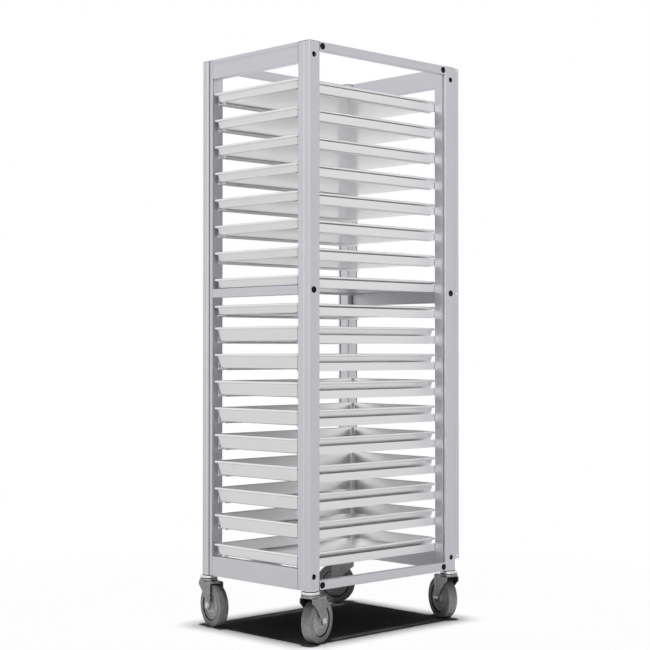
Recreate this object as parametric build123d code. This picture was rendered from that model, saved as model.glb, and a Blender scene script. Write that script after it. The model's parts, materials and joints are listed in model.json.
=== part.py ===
from build123d import *
import os
from math import radians, tan

# Bakery trolley: an aluminium profile frame on four swivel casters, with paired runners for trays.
# Millimetres. X is the width, the open loading front faces -Y, Z is up.
# The origin lies on the floor under the middle of the frame.

# Frame
frame_width = 510.0
frame_depth = 672.0
frame_top = 1847.0
fit_gap = 0.05            # radial clearance of screws, pins and shafts in their holes
slip_gap = 0.2            # clearance of blocks and pegs in their pockets

# Corner posts
post_width = 50.0         # along X
post_depth = 46.0         # along Y
post_wall = 2.5
post_corner = 4.0
outer_chamber = 16.0      # clear width of the chamber behind the outer side face
groove_width = 9.0        # vertical groove in the front or rear face
groove_depth = 3.5
slot_width = 6.0          # vertical slot that faces the side rails
cap_thickness = 2.0
cap_peg = 12.0
foot_pocket = 30.0        # height milled out of the webs for the caster socket

# Front and rear rails
rail_depth = 26.0
rail_wall = 2.0
tall_rail = 63.0
low_rail = 28.0
rail_line_drop = 13.0     # scored line below the upper edge of the top rails
rail_line_width = 2.0
rail_line_depth = 1.2
port_height = 14.0        # solid band inside a rail that takes the bolt
middle_rail_level = 8     # the front middle rail lies just under this level
middle_rail_clear = 1.8
rear_middle_rise = 5.0    # rear middle rail's axis above the front one's

# Side rails
side_rail_width = 22.0
side_rail_height = 28.0
side_rail_wall = 2.0
anchor_inset = 11.0       # from the end of the side rail to its access hole

# Frame bolts and access holes
bolt_radius = 4.0
bolt_head_radius = 6.5
bolt_head_height = 8.0
bolt_key = 6.0            # across the flats of the hexagon socket
bolt_key_depth = 4.0
bolt_grip = 25.0          # length of thread inside a rail
bolt_set_back = 20.0      # from the front or rear face to the bolt
bolt_from_edge = 43.0     # from the upper or lower frame edge to the bolt
access_radius = 8.5
plug_head_radius = 9.3
plug_head_height = 1.0
plug_lip = 0.5            # rounding of the plug's edge

# Side rail anchors
anchor_radius = 8.0
anchor_pin_radius = 2.6
anchor_head_width = 12.0
anchor_head_height = 14.0
anchor_head_depth = 5.0

# Runners
level_count = 18
first_level_drop = 79.0   # from the underside of the top rails to the uppermost ledge
last_level_rise = 4.8     # from the bottom rails to the lowest ledge
runner_wall = 2.0
runner_height = 25.5
ledge_rise = 6.0          # ledge top above the runner's lower edge
ledge_width = 33.0
runner_clear_of_rail = 2.0
runner_screw_inset = 7.0
runner_screw_rise = 14.0
runner_screw_radius = 2.0
runner_screw_head = 3.7
runner_screw_cone = 1.7
runner_screw_length = 10.0

# Trays
tray_side_clear = 3.0     # between tray rim and runner
tray_rear_space = 29.0
tray_wall = 1.2
shallow_tray = 31.0
deep_tray = 47.0
bottom_tray = 38.0
deep_levels = range(10, 18)
tray_draft = 8.0          # degrees
tray_corner = 13.0
tray_bottom_round = 5.0
rim_width = 6.5
rim_height = 8.5
rim_round = 3.0
rim_corner = 10.0         # outer corner of the rim, seen from above
tray_set_back = 0.5       # tray rim behind the front of the posts
tray_rest_gap = 0.2

# Rear spacer angles
angle_wall = 2.5
angle_face = 30.0
angle_stand_off = 20.0
angle_foot_rise = 36.0    # angle's lower end above the foot of the post
tie_hole_radius = 4.0
tie_hole_low = 10.0       # above the angle's lower end
tie_hole_high = 8.0       # below its upper end
angle_screw_radius = 2.5
angle_screw_head = 4.75
angle_screw_head_height = 3.0
angle_screw_length = 13.0
angle_screw_end = 60.0    # from an end of the angle to its nearest screw
angle_screw_drop = 80.0   # middle screw below the rear middle rail's axis

# Casters
caster_head = 27.0        # from the top of the wheel to the post
stem_from_side = 13.0
stem_from_face = 18.0
stem_radius = 6.0
stem_length = 28.0
cup_radius = 29.0
cup_height = 8.0
cup_neck_radius = 22.0
cup_neck_height = 2.0
swivel_gap = 1.5
crown_radius = 29.0
crown_height = 9.5
pin_head_radius = 11.0
pin_head_height = 3.5
pin_head_gap = 0.3
ball_radius = 3.0
ball_circle = 20.0
ball_count = 12
ball_gap = 0.3
wheel_radius = 69.0
wheel_trail = 39.0
tyre_width = 32.0
tyre_shoulder = 3.0
tyre_bead = 1.6
hub_radius = 47.0
hub_rim_width = 28.0
hub_rim_inner = 40.0
hub_web_width = 22.0
hub_boss_radius = 17.0
side_play = 0.3
fork_clear = 5.0          # between the tyre and a fork leg
fork_leg = 3.0
fork_pad = 1.5            # pressed step of the rear half of a leg
fork_bridge = 4.0
fork_eye = 14.0
fork_front = 26.0         # fork ahead of the swivel axis
fork_back = 15.0          # fork behind the axle
fork_shoulder = 14.0      # straight upper edge of a leg below the crown
leg_hollow = 9.0          # depth of the curved front edge of a leg
pad_ahead = 7.0           # pressed step starts this far ahead of the axle
axle_radius = 6.0
sleeve_radius = 9.0
axle_head_flats = 17.0
axle_head_height = 5.0
nut_height = 7.0

# Where each caster stands and which way its wheel trails, in degrees from +X
casters = {
    "front_left": (-1, -1, -12.0),
    "front_right": (1, -1, 105.5),
    "rear_left": (-1, 1, 226.0),
    "rear_right": (1, 1, 162.5),
}

# Places that follow from the sizes above
caster_height = 2 * wheel_radius + caster_head
half_width = frame_width / 2
half_depth = frame_depth / 2
post_inner_x = half_width - post_width
post_inner_y = half_depth - post_depth
post_foot_z = caster_height
post_head_z = frame_top - cap_thickness
web_x = half_width - post_wall - outer_chamber
groove_outer_x = web_x - post_wall
groove_inner_x = groove_outer_x - groove_width
inner_chamber_x = groove_inner_x - post_wall
bolt_y = half_depth - bolt_set_back
low_bolt_z = post_foot_z + bolt_from_edge
high_bolt_z = frame_top - bolt_from_edge
side_rail_x = half_width - side_rail_width / 2
anchor_x = half_width - post_wall - outer_chamber / 2
anchor_y = post_inner_y - anchor_inset
low_side_z = post_foot_z + side_rail_height / 2
high_side_z = frame_top - side_rail_height / 2
runner_end_y = half_depth - rail_depth - runner_clear_of_rail
flange_inner_x = post_inner_x - runner_wall
ledge_inner_x = flange_inner_x - ledge_width
runner_screw_tip_x = flange_inner_x + runner_screw_cone + runner_screw_length
first_level_z = frame_top - tall_rail - first_level_drop
last_level_z = post_foot_z + tall_rail + last_level_rise
level_pitch = (first_level_z - last_level_z) / (level_count - 1)
middle_ledge_z = first_level_z - level_pitch * (middle_rail_level - 1)
front_middle_z = middle_ledge_z - middle_rail_clear - low_rail / 2
rear_middle_z = front_middle_z + rear_middle_rise
tray_width = 2 * (flange_inner_x - tray_side_clear)
tray_length = frame_depth - tray_set_back - tray_rear_space
angle_foot_z = post_foot_z + angle_foot_rise
tie_hole_heights = (angle_foot_z + tie_hole_low, rear_middle_z, post_head_z - tie_hole_high)
angle_screw_heights = (
    angle_foot_z + angle_screw_end,
    rear_middle_z - angle_screw_drop,
    post_head_z - angle_screw_end,
)
fork_gap = tyre_width + 2 * fork_clear
stem_x = half_width - stem_from_side
stem_y = half_depth - stem_from_face
cup_top_z = caster_height - cup_neck_height
cup_foot_z = cup_top_z - cup_height
crown_top_z = cup_foot_z - swivel_gap
crown_foot_z = crown_top_z - crown_height
race_z = (cup_foot_z + crown_top_z) / 2


def ledge_z(level):
    return first_level_z - level_pitch * (level - 1)


def block(x, y, z):
    """A box between two limits along each axis."""
    size = [abs(limits[1] - limits[0]) for limits in (x, y, z)]
    centre = [(limits[0] + limits[1]) / 2 for limits in (x, y, z)]
    return Pos(*centre) * Box(*size)


def rod(radius, start, end):
    """A cylinder from one point to another along an axis of the frame."""
    axis = Vector(*end) - Vector(*start)
    return extrude(Plane(Vector(*start), z_dir=axis) * Circle(radius), axis.length)


def left_and_right(shape):
    return [mirror(shape, about=Plane.YZ), shape]


def at_corners(shape):
    """Copies of a piece of the rear right corner at all four corners."""
    right = [mirror(shape, about=Plane.XZ), shape]
    return [copy for piece in right for copy in left_and_right(piece)]


def save(name, *pieces):
    """Writes one node, whose pieces may be parts or lists of parts."""
    solids = []
    for piece in pieces:
        members = piece if isinstance(piece, list) else [piece]
        solids += [solid for member in members for solid in member.solids()]
    export_step(solids[0] if len(solids) == 1 else Compound(children=solids), f"parts/{name}.step")


# The corner posts are modelled at the rear right corner
def post_section():
    middle_x = half_width - post_width / 2
    middle_y = half_depth - post_depth / 2
    inside_y = (post_inner_y + post_wall, half_depth - post_wall)
    behind_groove_y = (inside_y[0], half_depth - groove_depth - post_wall)
    section = Pos(middle_x, middle_y) * RectangleRounded(post_width, post_depth, post_corner)

    def cut(x, y):
        return Pos((x[0] + x[1]) / 2, (y[0] + y[1]) / 2) * Rectangle(abs(x[1] - x[0]), abs(y[1] - y[0]))

    section -= cut((web_x, half_width - post_wall), inside_y)
    section -= cut((groove_inner_x, groove_outer_x), behind_groove_y)
    section -= cut((post_inner_x + post_wall, inner_chamber_x), inside_y)
    section -= cut((groove_inner_x, groove_outer_x), (half_depth - groove_depth, half_depth))
    slot_x = (anchor_x - slot_width / 2, anchor_x + slot_width / 2)
    section -= cut(slot_x, (post_inner_y, inside_y[0]))
    return section


def bolt_heights(middle_z):
    return (low_bolt_z, middle_z, high_bolt_z)


def corner_post(middle_z, angle_screws):
    post = extrude(Pos(0, 0, post_foot_z) * post_section(), post_head_z - post_foot_z)
    pocket_y = (post_inner_y + post_wall, half_depth - groove_depth - post_wall)
    pocket_x = (post_inner_x + post_wall, half_width - post_wall)
    holes = [block(pocket_x, pocket_y, (post_foot_z, post_foot_z + foot_pocket))]
    for z in bolt_heights(middle_z):
        holes.append(rod(access_radius, (web_x + post_wall, bolt_y, z), (half_width + post_wall, bolt_y, z)))
        holes.append(rod(bolt_radius + fit_gap, (post_inner_x - post_wall, bolt_y, z), (web_x, bolt_y, z)))
    for level in range(1, level_count + 1):
        z = ledge_z(level) - ledge_rise + runner_screw_rise
        y = runner_end_y - runner_screw_inset
        reach = runner_screw_tip_x + slip_gap
        holes.append(rod(runner_screw_radius + fit_gap, (flange_inner_x, y, z), (reach, y, z)))
    for z in angle_screws:
        x = (groove_inner_x + groove_outer_x) / 2
        end_y = half_depth - groove_depth - 2 * post_wall
        holes.append(rod(angle_screw_radius + fit_gap, (x, half_depth, z), (x, end_y, z)))
    return post - holes


def post_cap():
    outline = Pos(half_width - post_width / 2, half_depth - post_depth / 2, post_head_z)
    cap = extrude(outline * RectangleRounded(post_width, post_depth, post_corner), cap_thickness)
    peg_x = (post_inner_x + post_wall + slip_gap, inner_chamber_x - slip_gap)
    peg_y = (post_inner_y + post_wall + slip_gap, half_depth - post_wall - slip_gap)
    return cap + block(peg_x, peg_y, (post_head_z - cap_peg, post_head_z))


def caster_socket():
    x = (post_inner_x + post_wall + slip_gap, half_width - post_wall - slip_gap)
    face_y = half_depth - groove_depth - post_wall - slip_gap
    y = (2 * stem_y - face_y, face_y)
    socket = block(x, y, (post_foot_z, post_foot_z + foot_pocket - slip_gap))
    bore_top = (stem_x, stem_y, post_foot_z + foot_pocket)
    return socket - rod(stem_radius + fit_gap, (stem_x, stem_y, 0), bore_top)


# Front and rear rails are modelled at the rear
def cross_rail(foot_z, height, bolt_z, scored=False):
    y = (half_depth - rail_depth, half_depth)
    inside_y = (y[0] + rail_wall, y[1] - rail_wall)
    inside_z = (foot_z + rail_wall, foot_z + height - rail_wall)
    span = (-post_inner_x, post_inner_x)
    rail = block(span, y, (foot_z, foot_z + height))
    hollow = block(span, inside_y, inside_z)
    hollow -= block(span, inside_y, (bolt_z - port_height / 2, bolt_z + port_height / 2))
    rail -= hollow
    rail -= rod(bolt_radius + fit_gap, (span[0], bolt_y, bolt_z), (span[1], bolt_y, bolt_z))
    if scored:
        line_z = foot_z + height - rail_line_drop
        rail -= block(span, (y[1] - rail_line_depth, y[1]), (line_z - rail_line_width, line_z))
    return rail


# Side rails are modelled on the right
def side_rail(middle_z):
    rail = Pos(side_rail_x, 0, middle_z) * Box(side_rail_width, 2 * post_inner_y, side_rail_height)
    inside = (side_rail_width - 2 * side_rail_wall, 2 * post_inner_y, side_rail_height - 2 * side_rail_wall)
    rail -= Pos(side_rail_x, 0, middle_z) * Box(*inside)
    for y in (-anchor_y, anchor_y):
        rail -= rod(access_radius, (side_rail_x, y, middle_z), (half_width, y, middle_z))
    return rail


def side_rail_anchor(middle_z):
    reach = side_rail_width / 2 - side_rail_wall - slip_gap
    inner_end = (side_rail_x - reach, anchor_y, middle_z)
    outer_end = (side_rail_x + reach, anchor_y, middle_z)
    body = rod(anchor_radius, inner_end, outer_end)
    head_y = post_inner_y + post_wall
    pin = rod(anchor_pin_radius, (anchor_x, anchor_y, middle_z), (anchor_x, head_y, middle_z))
    head = block(
        (anchor_x - anchor_head_width / 2, anchor_x + anchor_head_width / 2),
        (head_y, head_y + anchor_head_depth),
        (middle_z - anchor_head_height / 2, middle_z + anchor_head_height / 2),
    )
    return body + pin + head


def hole_plug(y, z, wall):
    face = Plane((half_width, y, z), z_dir=(1, 0, 0))
    head = extrude(face * Circle(plug_head_radius), plug_head_height)
    head = fillet(head.edges().sort_by(Axis.X)[-1], plug_lip)
    return head + rod(access_radius - fit_gap, (half_width - wall + fit_gap, y, z), (half_width, y, z))


def frame_bolt(z):
    head = rod(bolt_head_radius, (web_x, bolt_y, z), (web_x + bolt_head_height, bolt_y, z))
    head_face = Plane((web_x + bolt_head_height, bolt_y, z), z_dir=(-1, 0, 0))
    key = head_face * RegularPolygon(bolt_key / 2, 6, major_radius=False)
    shank = rod(bolt_radius, (post_inner_x - bolt_grip, bolt_y, z), (web_x, bolt_y, z))
    return head - extrude(key, bolt_key_depth) + shank


# Runners are modelled on the right, with their lower edge at zero height
def runner_blank():
    span = (-runner_end_y, runner_end_y)
    flange = block((flange_inner_x, post_inner_x), span, (0, runner_height))
    ledge = block((ledge_inner_x, flange_inner_x), span, (ledge_rise - runner_wall, ledge_rise))
    lip = block((ledge_inner_x, ledge_inner_x + runner_wall), span, (0, ledge_rise - runner_wall))
    blank = flange + ledge + lip
    for y in (-runner_end_y + runner_screw_inset, runner_end_y - runner_screw_inset):
        blank -= runner_screw(y, fit_gap)
    return blank


def runner_screw(y, gap=0.0):
    """A countersunk screw, or with a gap the hole that takes it."""
    face = Plane((flange_inner_x, y, runner_screw_rise), x_dir=(0, 1, 0), z_dir=(1, 0, 0))
    cone = loft([
        face * Circle(runner_screw_head + gap),
        face.offset(runner_screw_cone) * Circle(runner_screw_radius + gap),
    ])
    start = (flange_inner_x + runner_screw_cone, y, runner_screw_rise)
    return cone + rod(runner_screw_radius + gap, start, (runner_screw_tip_x, y, runner_screw_rise))


# Trays are modelled with the underside at zero height
def tray(depth):
    def outline(z, inset):
        spread = inset - z * tan(radians(tray_draft)) + depth * tan(radians(tray_draft))
        shape = RectangleRounded(tray_width - 2 * spread, tray_length - 2 * spread, tray_corner)
        return Pos(0, 0, z) * shape

    outer_inset = rim_width - tray_wall
    shell = loft([outline(0, outer_inset), outline(depth, outer_inset)], ruled=True)
    shell = fillet(shell.edges().group_by(Axis.Z)[0], tray_bottom_round)
    inside = loft([outline(tray_wall, rim_width), outline(depth, rim_width)], ruled=True)
    inside = fillet(inside.edges().group_by(Axis.Z)[0], tray_bottom_round - tray_wall)
    shell -= inside
    rim_face = RectangleRounded(tray_width, tray_length, rim_corner)
    rim_face -= RectangleRounded(tray_width - 2 * rim_width, tray_length - 2 * rim_width, tray_corner)
    rim = extrude(Pos(0, 0, depth - rim_height) * rim_face, rim_height)
    faces = rim.faces().sort_by(Axis.Z)
    return shell + fillet([*faces[0].outer_wire().edges(), *faces[-1].outer_wire().edges()], rim_round)


# The rear spacer angle is modelled on the right
def rear_angle():
    z = (angle_foot_z, post_head_z)
    face = block((half_width - angle_face, half_width), (half_depth, half_depth + angle_wall), z)
    wing_y = (half_depth, half_depth + angle_stand_off)
    angle = face + block((half_width - angle_wall, half_width), wing_y, z)
    hole_y = half_depth + (angle_wall + angle_stand_off) / 2
    for height in tie_hole_heights:
        start = (half_width - 2 * angle_wall, hole_y, height)
        angle -= rod(tie_hole_radius, start, (half_width, hole_y, height))
    x = (groove_inner_x + groove_outer_x) / 2
    for height in angle_screw_heights:
        end = (x, half_depth + angle_wall, height)
        angle -= rod(angle_screw_radius + fit_gap, (x, half_depth, height), end)
    return angle


def rear_angle_screw(z):
    x = (groove_inner_x + groove_outer_x) / 2
    seat = half_depth + angle_wall
    head = rod(angle_screw_head, (x, seat, z), (x, seat + angle_screw_head_height, z))
    head = fillet(head.edges().sort_by(Axis.Y)[-1], angle_screw_head_height / 2)
    return head + rod(angle_screw_radius, (x, seat - angle_screw_length, z), (x, seat, z))


# Caster pieces are modelled with the swivel axis on Z and the wheel trailing along X
def caster_stem():
    stem = rod(stem_radius, (0, 0, caster_height), (0, 0, caster_height + stem_length))
    neck = rod(cup_neck_radius, (0, 0, cup_top_z), (0, 0, caster_height))
    cup = rod(cup_radius, (0, 0, cup_foot_z), (0, 0, cup_top_z))
    cup = fillet(cup.edges().sort_by(Axis.Z)[-1], cup_neck_height)
    cup -= Pos(0, 0, race_z) * Torus(ball_circle, ball_radius + ball_gap)
    head_top = crown_foot_z - pin_head_gap
    pin = rod(stem_radius, (0, 0, head_top), (0, 0, cup_foot_z))
    head = rod(pin_head_radius, (0, 0, head_top - pin_head_height), (0, 0, head_top))
    return stem + neck + cup + pin + head


def swivel_balls():
    ring = PolarLocations(ball_circle, ball_count)
    return [Pos(0, 0, race_z) * place * Sphere(ball_radius) for place in ring]


def on_axle(radius, start, end):
    return rod(radius, (wheel_trail, start, wheel_radius), (wheel_trail, end, wheel_radius))


def leg_outline():
    """Outline of a fork leg in the plane of trail and height."""
    top = crown_foot_z + fork_bridge
    shoulder = Vector(-fork_front, crown_foot_z - fork_shoulder)
    eye = Vector(wheel_trail - fork_eye, wheel_radius)
    back = wheel_trail + fork_back
    chord = (shoulder - eye).normalized()
    hollow = (shoulder + eye) / 2 + Vector(chord.Y, -chord.X) * leg_hollow
    edges = Polyline(shoulder, (-fork_front, top), (back, top), (back, shoulder.Y),
                     (wheel_trail + fork_eye, wheel_radius), eye)
    edges += ThreePointArc(eye, hollow, shoulder)
    return make_face(edges) + Pos(wheel_trail, wheel_radius) * Circle(fork_eye)


def fork():
    crown = rod(crown_radius, (0, 0, crown_foot_z), (0, 0, crown_top_z))
    crown = fillet(crown.edges().sort_by(Axis.Z)[-1], swivel_gap)
    inside = fork_gap / 2
    outside = inside + fork_leg
    span = (-fork_front, wheel_trail + fork_back)
    bridge = block(span, (-outside, outside), (crown_foot_z, crown_foot_z + fork_bridge))
    leg = extrude(Plane.XZ.offset(inside) * leg_outline(), fork_leg)
    pad = extrude(Plane.XZ.offset(outside) * leg_outline(), fork_pad)
    pad -= block((-fork_front, wheel_trail - pad_ahead), (-2 * outside, 2 * outside), (0, caster_height))
    leg += pad
    body = crown + bridge + leg + mirror(leg, about=Plane.XZ)
    body -= rod(stem_radius + fit_gap, (0, 0, 0), (0, 0, caster_height))
    body -= Pos(0, 0, race_z) * Torus(ball_circle, ball_radius + ball_gap)
    reach = outside + 2 * fork_pad
    body -= on_axle(axle_radius + fit_gap, -reach, reach)
    return body


def axle_pieces():
    """The axle bolt, its nut and the sleeve that the wheel turns on."""
    seat = fork_gap / 2 + fork_leg + fork_pad

    def hexagon(y, height, toward):
        plane = Plane((wheel_trail, y, wheel_radius), x_dir=(1, 0, 0), z_dir=(0, toward, 0))
        return extrude(plane * RegularPolygon(axle_head_flats / 2, 6, major_radius=False), height)

    end = seat + nut_height + axle_radius / 2
    bolt = hexagon(-seat, axle_head_height, -1) + on_axle(axle_radius, -seat, end)
    bore = on_axle(axle_radius + fit_gap, -seat, end)
    nut = hexagon(seat, nut_height, 1) - bore
    sleeve_end = fork_gap / 2 - fit_gap
    sleeve = on_axle(sleeve_radius, -sleeve_end, sleeve_end)
    return [bolt, nut, sleeve - bore]


def turned(profile):
    """A wheel piece from a profile of radius and width."""
    shape = revolve(Plane.XY * profile, Axis.Y)
    return Pos(wheel_trail, 0, wheel_radius) * shape


def ring_profile(inner, outer, width):
    return Pos((inner + outer) / 2, 0) * Rectangle(outer - inner, width)


def wheel_hub():
    bore = sleeve_radius + fit_gap
    boss = ring_profile(bore, hub_boss_radius, fork_gap - 2 * side_play)
    web = ring_profile(bore, hub_radius, hub_web_width)
    rim = ring_profile(hub_rim_inner, hub_radius, hub_rim_width)
    return turned(boss + web + rim)


def wheel_tyre():
    inner = hub_radius + fit_gap
    section = ring_profile(inner, wheel_radius, tyre_width)
    section = fillet(section.vertices().group_by(Axis.X)[-1], tyre_shoulder)
    for side in (-1, 1):
        section += Pos(inner + 2 * tyre_bead, side * tyre_width / 2) * Circle(tyre_bead)
    return turned(section)


os.makedirs("parts", exist_ok=True)

# Frame
rear_post = corner_post(rear_middle_z, angle_screw_heights)
front_post = mirror(corner_post(front_middle_z, ()), about=Plane.XZ)
for side, post in zip(("left", "right"), left_and_right(front_post)):
    save(f"post_front_{side}", post)
for side, post in zip(("left", "right"), left_and_right(rear_post)):
    save(f"post_rear_{side}", post)

top_rail = cross_rail(frame_top - tall_rail, tall_rail, high_bolt_z, scored=True)
bottom_rail = cross_rail(post_foot_z, tall_rail, low_bolt_z)
save("rail_rear_top", top_rail)
save("rail_rear_bottom", bottom_rail)
save("rail_rear_middle", cross_rail(rear_middle_z - tall_rail / 2, tall_rail, rear_middle_z))
save("rail_front_top", mirror(top_rail, about=Plane.XZ))
save("rail_front_bottom", mirror(bottom_rail, about=Plane.XZ))
low_front = cross_rail(front_middle_z - low_rail / 2, low_rail, front_middle_z)
save("rail_front_middle", mirror(low_front, about=Plane.XZ))
for place, z in (("top", high_side_z), ("bottom", low_side_z)):
    for side, rail in zip(("left", "right"), left_and_right(side_rail(z))):
        save(f"rail_{side}_{place}", rail)

save("post_caps", at_corners(post_cap()))
save("caster_sockets", at_corners(caster_socket()))
end_bolts = [bolt for z in (low_bolt_z, high_bolt_z) for bolt in at_corners(frame_bolt(z))]
middle_plugs = []
for side_y, z in ((-1, front_middle_z), (1, rear_middle_z)):
    bolt = frame_bolt(z)
    plug = hole_plug(bolt_y, z, post_wall)
    if side_y < 0:
        bolt = mirror(bolt, about=Plane.XZ)
        plug = mirror(plug, about=Plane.XZ)
    end_bolts += left_and_right(bolt)
    middle_plugs += left_and_right(plug)
save("frame_bolts", end_bolts)
rail_plugs = [at_corners(hole_plug(anchor_y, z, side_rail_wall)) for z in (low_side_z, high_side_z)]
save("hole_plugs", middle_plugs, *rail_plugs)
save("side_rail_anchors", *[at_corners(side_rail_anchor(z)) for z in (low_side_z, high_side_z)])

# Runners and their screws
runner_lift = [Pos(0, 0, ledge_z(level) - ledge_rise) for level in range(1, level_count + 1)]
runner_left, runner_right = left_and_right(runner_blank())
save("runners_left", [lift * runner_left for lift in runner_lift])
save("runners_right", [lift * runner_right for lift in runner_lift])
screws = at_corners(runner_screw(runner_end_y - runner_screw_inset))
save("runner_screws", [lift * screw for lift in runner_lift for screw in screws])

# Trays
tray_shapes = {depth: tray(depth) for depth in (shallow_tray, deep_tray, bottom_tray)}
tray_middle_y = -half_depth + tray_set_back + tray_length / 2
for level in range(1, level_count + 1):
    depth = deep_tray if level in deep_levels else shallow_tray
    if level == level_count:
        depth = bottom_tray
    save(f"tray_{level:02d}", Pos(0, tray_middle_y, ledge_z(level) + tray_rest_gap) * tray_shapes[depth])

# Rear spacer angles
save("rear_angles", left_and_right(rear_angle()))
save("rear_angle_screws", *[left_and_right(rear_angle_screw(z)) for z in angle_screw_heights])

# Casters
stems = []
balls = []
for name, (side_x, side_y, heading) in casters.items():
    place = Pos(side_x * stem_x, side_y * stem_y, 0) * Rot(0, 0, heading)
    stems.append(place * caster_stem())
    balls += [place * ball for ball in swivel_balls()]
    save(f"caster_fork_{name}", place * fork())
    save(f"caster_axle_{name}", [place * piece for piece in axle_pieces()])
    save(f"wheel_hub_{name}", place * wheel_hub())
    save(f"wheel_tyre_{name}", place * wheel_tyre())
save("caster_stems", stems)
save("swivel_balls", balls)
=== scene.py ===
# %% [markdown]
# # A bakery trolley, piece by piece
# The trolley is a rack of satin aluminium profile on four swivel casters, with eighteen pairs of runners
# and a tray on every level. Its sizes and its moving bodies come from a CAD frame, which is loaded first.
# Each step below gives one kind of piece its visible form and finish, in the place that the frame fixes.

# %% Load the frame
import json
from math import cos, pi, radians, sin, tan

import bmesh
import bpy
from mathutils import Matrix, Vector


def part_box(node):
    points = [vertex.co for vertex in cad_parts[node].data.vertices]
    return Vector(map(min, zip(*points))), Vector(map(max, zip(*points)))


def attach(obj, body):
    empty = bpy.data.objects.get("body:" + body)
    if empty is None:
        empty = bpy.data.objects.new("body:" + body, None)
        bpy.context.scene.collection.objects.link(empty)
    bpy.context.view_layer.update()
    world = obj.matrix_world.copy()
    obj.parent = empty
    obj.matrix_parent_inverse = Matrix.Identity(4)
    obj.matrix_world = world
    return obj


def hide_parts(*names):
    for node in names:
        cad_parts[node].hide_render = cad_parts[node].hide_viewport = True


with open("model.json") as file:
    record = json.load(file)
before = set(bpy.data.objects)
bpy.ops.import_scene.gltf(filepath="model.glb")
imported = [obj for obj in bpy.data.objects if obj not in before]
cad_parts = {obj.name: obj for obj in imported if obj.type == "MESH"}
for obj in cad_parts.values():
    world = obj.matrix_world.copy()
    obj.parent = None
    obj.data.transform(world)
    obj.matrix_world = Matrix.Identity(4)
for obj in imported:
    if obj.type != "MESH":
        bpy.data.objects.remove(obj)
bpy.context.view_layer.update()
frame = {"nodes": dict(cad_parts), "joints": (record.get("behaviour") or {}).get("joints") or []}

mm = 0.001

# %% [markdown]
# ## Sizes from the frame
# Shop drawings are in millimetres and Blender works in metres, so sizes are written in millimetres here and
# scaled once, when a mesh is made. The rear right post gives most of what the other pieces line up with: the
# inner and outer faces of the frame, and the heights of its foot and head. The other posts mirror it.

# %% The faces that pieces line up with
def in_mm(node):
    """The lowest and highest corner of a CAD node, in millimetres."""
    low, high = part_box(node)
    return low / mm, high / mm


post_low, post_high = in_mm("post_rear_right")
inner_x, inner_y, post_foot = post_low
outer_x, outer_y, post_head = post_high
frame_top = in_mm("post_caps")[1].z
sides = {"left": -1, "right": 1}
ends = {"front": -1, "rear": 1}
corner_signs = {f"{end}_{side}": (sides[side], ends[end]) for end in ends for side in sides}
print("post faces x", round(inner_x, 2), round(outer_x, 2), "y", round(inner_y, 2), round(outer_y, 2))
print("post foot, post head and frame top", [round(z, 2) for z in (post_foot, post_head, frame_top)])

# %% [markdown]
# ## Finishes written as sums
# A finish is a network of shader nodes. Wiring each one by hand hides the idea behind it, so a small class
# wraps an output socket and lets Python's own operators add the Math nodes: `1 - dust` reads like the sum it
# is. Every other kind of node comes from one method, which takes its settings first and then its sockets.

# %% Sockets that add up
class Out:
    """An output socket of a finish; arithmetic on it adds Math nodes."""

    def __init__(self, nodes, socket):
        self.nodes = nodes
        self.socket = socket

    def maths(self, operation, first, second):
        return self.nodes.add("ShaderNodeMath", {"operation": operation}, {0: first, 1: second})

    def __add__(self, other):
        return self.maths("ADD", self, other)

    def __sub__(self, other):
        return self.maths("SUBTRACT", self, other)

    def __rsub__(self, other):
        return self.maths("SUBTRACT", other, self)

    def __mul__(self, other):
        return self.maths("MULTIPLY", self, other)

    def __gt__(self, other):
        return self.maths("GREATER_THAN", self, other)

    def __lt__(self, other):
        return self.maths("LESS_THAN", self, other)

    __radd__ = __add__
    __rmul__ = __mul__


print("sockets can be added, subtracted, multiplied and compared")

# %% A tree filled node by node
class Nodes:
    """A node tree that is filled one node at a time."""

    def __init__(self, tree):
        self.tree = tree

    def add(self, kind, settings=None, sockets=None, output=0):
        node = self.tree.nodes.new(kind)
        for name, value in (settings or {}).items():
            if name == "stops":
                self.set_stops(node.color_ramp, value)
            else:
                setattr(node, name, value)
        for name, value in (sockets or {}).items():
            self.feed(node.inputs[name], value)
        return Out(self, node.outputs[output])

    def set_stops(self, ramp, stops):
        while len(ramp.elements) < len(stops):
            ramp.elements.new(1.0)
        for element, (position, level) in zip(ramp.elements, stops):
            element.position = position
            element.color = (level, level, level, 1)

    def feed(self, socket, value):
        if isinstance(value, Out):
            self.tree.links.new(value.socket, socket)
        else:
            socket.default_value = value


print("node trees can be filled")

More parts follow.
